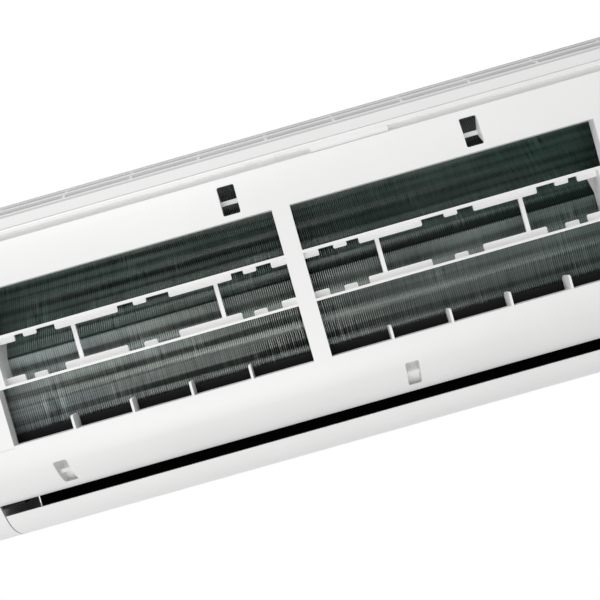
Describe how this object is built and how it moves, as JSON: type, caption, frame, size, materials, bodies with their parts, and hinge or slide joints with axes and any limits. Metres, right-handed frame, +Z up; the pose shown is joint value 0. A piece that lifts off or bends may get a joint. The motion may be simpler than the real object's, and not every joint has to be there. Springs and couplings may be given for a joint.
{
  "type": "mini split indoor unit",
  "caption": "Wall-mounted mini split indoor unit with its front panel off: open windows over the coil, louver, vanes, fan, drain pan, pipes and electrics.",
  "frame": {"origin": "on the wall, centre of the wall plate's back face at half the unit's height and width", "axes": "+X to the right seen from the room, +Y into the wall, +Z up"},
  "size_m": [0.8, 0.1876, 0.294],
  "materials": {
    "white_plastic": "moulded ABS, very fine texture",
    "dark_plastic": "moulded dark plastic, matt",
    "coil_fins": "coated fins, dull",
    "galvanised_steel": "galvanised sheet",
    "copper": "drawn copper tube",
    "brass": "machined",
    "rubber": "matt",
    "steel": "turned",
    "motor_casing": "moulded resin",
    "grey_plastic": "moulded",
    "circuit_board": "solder mask",
    "board_components": "moulded",
    "signal_window": "smoked, glossy"
  },
  "bodies": {
    "casing": {"access_cover": "white_plastic", "access_cover_screw": "steel", "bearing_bush": "brass", "bearing_mount": "rubber", "board_parts": "board_components", "bracket_screws": "steel", "coil_end_plates": "galvanised_steel", "coil_lower_front": "coil_fins", "coil_rear": "coil_fins", "coil_tubes": "copper", "coil_upper_front": "coil_fins", "control_box": "dark_plastic", "control_box_cover": "grey_plastic", "display_housing": "grey_plastic", "display_window": "signal_window", "drain_pan": "dark_plastic", "drain_plug": "rubber", "fan_motor": "motor_casing", "filter_rails": "white_plastic", "flare_unions": "brass", "front_frame": "white_plastic", "gas_pipe": "copper", "liquid_pipe": "copper", "louver_centre_support": "dark_plastic", "louver_motor": "grey_plastic", "main_board": "circuit_board", "motor_bracket": "dark_plastic", "motor_cushions": "rubber", "panel_clips": "white_plastic", "pipe_clamp": "dark_plastic", "pipe_way_cover": "white_plastic", "rear_chassis": "dark_plastic", "return_bends": "copper", "room_sensor": "grey_plastic", "terminal_block": "grey_plastic", "terminal_screws": "steel", "top_grille": "white_plastic", "vane_rails": "dark_plastic", "wall_plate": "galvanised_steel", "wire_clamp": "grey_plastic"},
    "fan": {"fan_rotor": "dark_plastic", "fan_hub": "grey_plastic", "hub_set_screw": "steel", "fan_stub_shaft": "steel", "motor_shaft": "steel"},
    "louver": {"main_louver": "white_plastic", "louver_motor_shaft": "steel"},
    "button": {"emergency_button": "white_plastic"},
    "vane_left_1": {"vane_left_1": "dark_plastic"},
    "vane_left_2": {"vane_left_2": "dark_plastic"},
    "vane_left_3": {"vane_left_3": "dark_plastic"},
    "vane_left_4": {"vane_left_4": "dark_plastic"},
    "vane_left_5": {"vane_left_5": "dark_plastic"},
    "vane_link_left": {"vane_link_left": "dark_plastic"},
    "vane_right_1": {"vane_right_1": "dark_plastic"},
    "vane_right_2": {"vane_right_2": "dark_plastic"},
    "vane_right_3": {"vane_right_3": "dark_plastic"},
    "vane_right_4": {"vane_right_4": "dark_plastic"},
    "vane_right_5": {"vane_right_5": "dark_plastic"},
    "vane_link_right": {"vane_link_right": "dark_plastic"}
  },
  "joints": [
    {"name": "fan_spin", "type": "hinge", "parent": "casing", "child": "fan", "pos_m": [0, -0.086, -0.028], "axis": [1, 0, 0], "continuous": true},
    {"name": "louver_swing", "type": "hinge", "parent": "casing", "child": "louver", "pos_m": [0, -0.09, -0.138], "axis": [1, 0, 0], "range_deg": [0, 80]},
    {"name": "vane_left_1_turn", "type": "hinge", "parent": "casing", "child": "vane_left_1", "pos_m": [-0.30888, -0.049, -0.082], "axis": [0, 1, 0], "range_deg": [-30, 30]},
    {"name": "vane_left_2_turn", "type": "hinge", "parent": "casing", "child": "vane_left_2", "pos_m": [-0.25888, -0.049, -0.082], "axis": [0, 1, 0], "range_deg": [-30, 30]},
    {"name": "vane_left_3_turn", "type": "hinge", "parent": "casing", "child": "vane_left_3", "pos_m": [-0.20888, -0.049, -0.082], "axis": [0, 1, 0], "range_deg": [-30, 30]},
    {"name": "vane_left_4_turn", "type": "hinge", "parent": "casing", "child": "vane_left_4", "pos_m": [-0.15887, -0.049, -0.082], "axis": [0, 1, 0], "range_deg": [-30, 30]},
    {"name": "vane_left_5_turn", "type": "hinge", "parent": "casing", "child": "vane_left_5", "pos_m": [-0.10887, -0.049, -0.082], "axis": [0, 1, 0], "range_deg": [-30, 30]},
    {"name": "vane_link_left_turn", "type": "hinge", "parent": "vane_left_3", "child": "vane_link_left", "pos_m": [-0.20888, -0.129, -0.099], "axis": [0, 1, 0], "range_deg": [-30, 30]},
    {"name": "vane_right_1_turn", "type": "hinge", "parent": "casing", "child": "vane_right_1", "pos_m": [-0.03537, -0.049, -0.082], "axis": [0, 1, 0], "range_deg": [-30, 30]},
    {"name": "vane_right_2_turn", "type": "hinge", "parent": "casing", "child": "vane_right_2", "pos_m": [0.01463, -0.049, -0.082], "axis": [0, 1, 0], "range_deg": [-30, 30]},
    {"name": "vane_right_3_turn", "type": "hinge", "parent": "casing", "child": "vane_right_3", "pos_m": [0.06463, -0.049, -0.082], "axis": [0, 1, 0], "range_deg": [-30, 30]},
    {"name": "vane_right_4_turn", "type": "hinge", "parent": "casing", "child": "vane_right_4", "pos_m": [0.11463, -0.049, -0.082], "axis": [0, 1, 0], "range_deg": [-30, 30]},
    {"name": "vane_right_5_turn", "type": "hinge", "parent": "casing", "child": "vane_right_5", "pos_m": [0.16462, -0.049, -0.082], "axis": [0, 1, 0], "range_deg": [-30, 30]},
    {"name": "vane_link_right_turn", "type": "hinge", "parent": "vane_right_3", "child": "vane_link_right", "pos_m": [0.06463, -0.129, -0.099], "axis": [0, 1, 0], "range_deg": [-30, 30]},
    {"name": "button_press", "type": "slide", "parent": "casing", "child": "button", "axis": [0, 1, 0], "range_m": [0, 0.0012], "stiffness_N_per_m": 300}
  ],
  "couplings": [
    {"joint": "vane_left_1_turn", "follows": "vane_left_3_turn", "ratio": 1},
    {"joint": "vane_left_2_turn", "follows": "vane_left_3_turn", "ratio": 1},
    {"joint": "vane_left_4_turn", "follows": "vane_left_3_turn", "ratio": 1},
    {"joint": "vane_left_5_turn", "follows": "vane_left_3_turn", "ratio": 1},
    {"joint": "vane_link_left_turn", "follows": "vane_left_3_turn", "ratio": -1},
    {"joint": "vane_right_1_turn", "follows": "vane_right_3_turn", "ratio": 1},
    {"joint": "vane_right_2_turn", "follows": "vane_right_3_turn", "ratio": 1},
    {"joint": "vane_right_4_turn", "follows": "vane_right_3_turn", "ratio": 1},
    {"joint": "vane_right_5_turn", "follows": "vane_right_3_turn", "ratio": 1},
    {"joint": "vane_link_right_turn", "follows": "vane_right_3_turn", "ratio": -1}
  ]
}
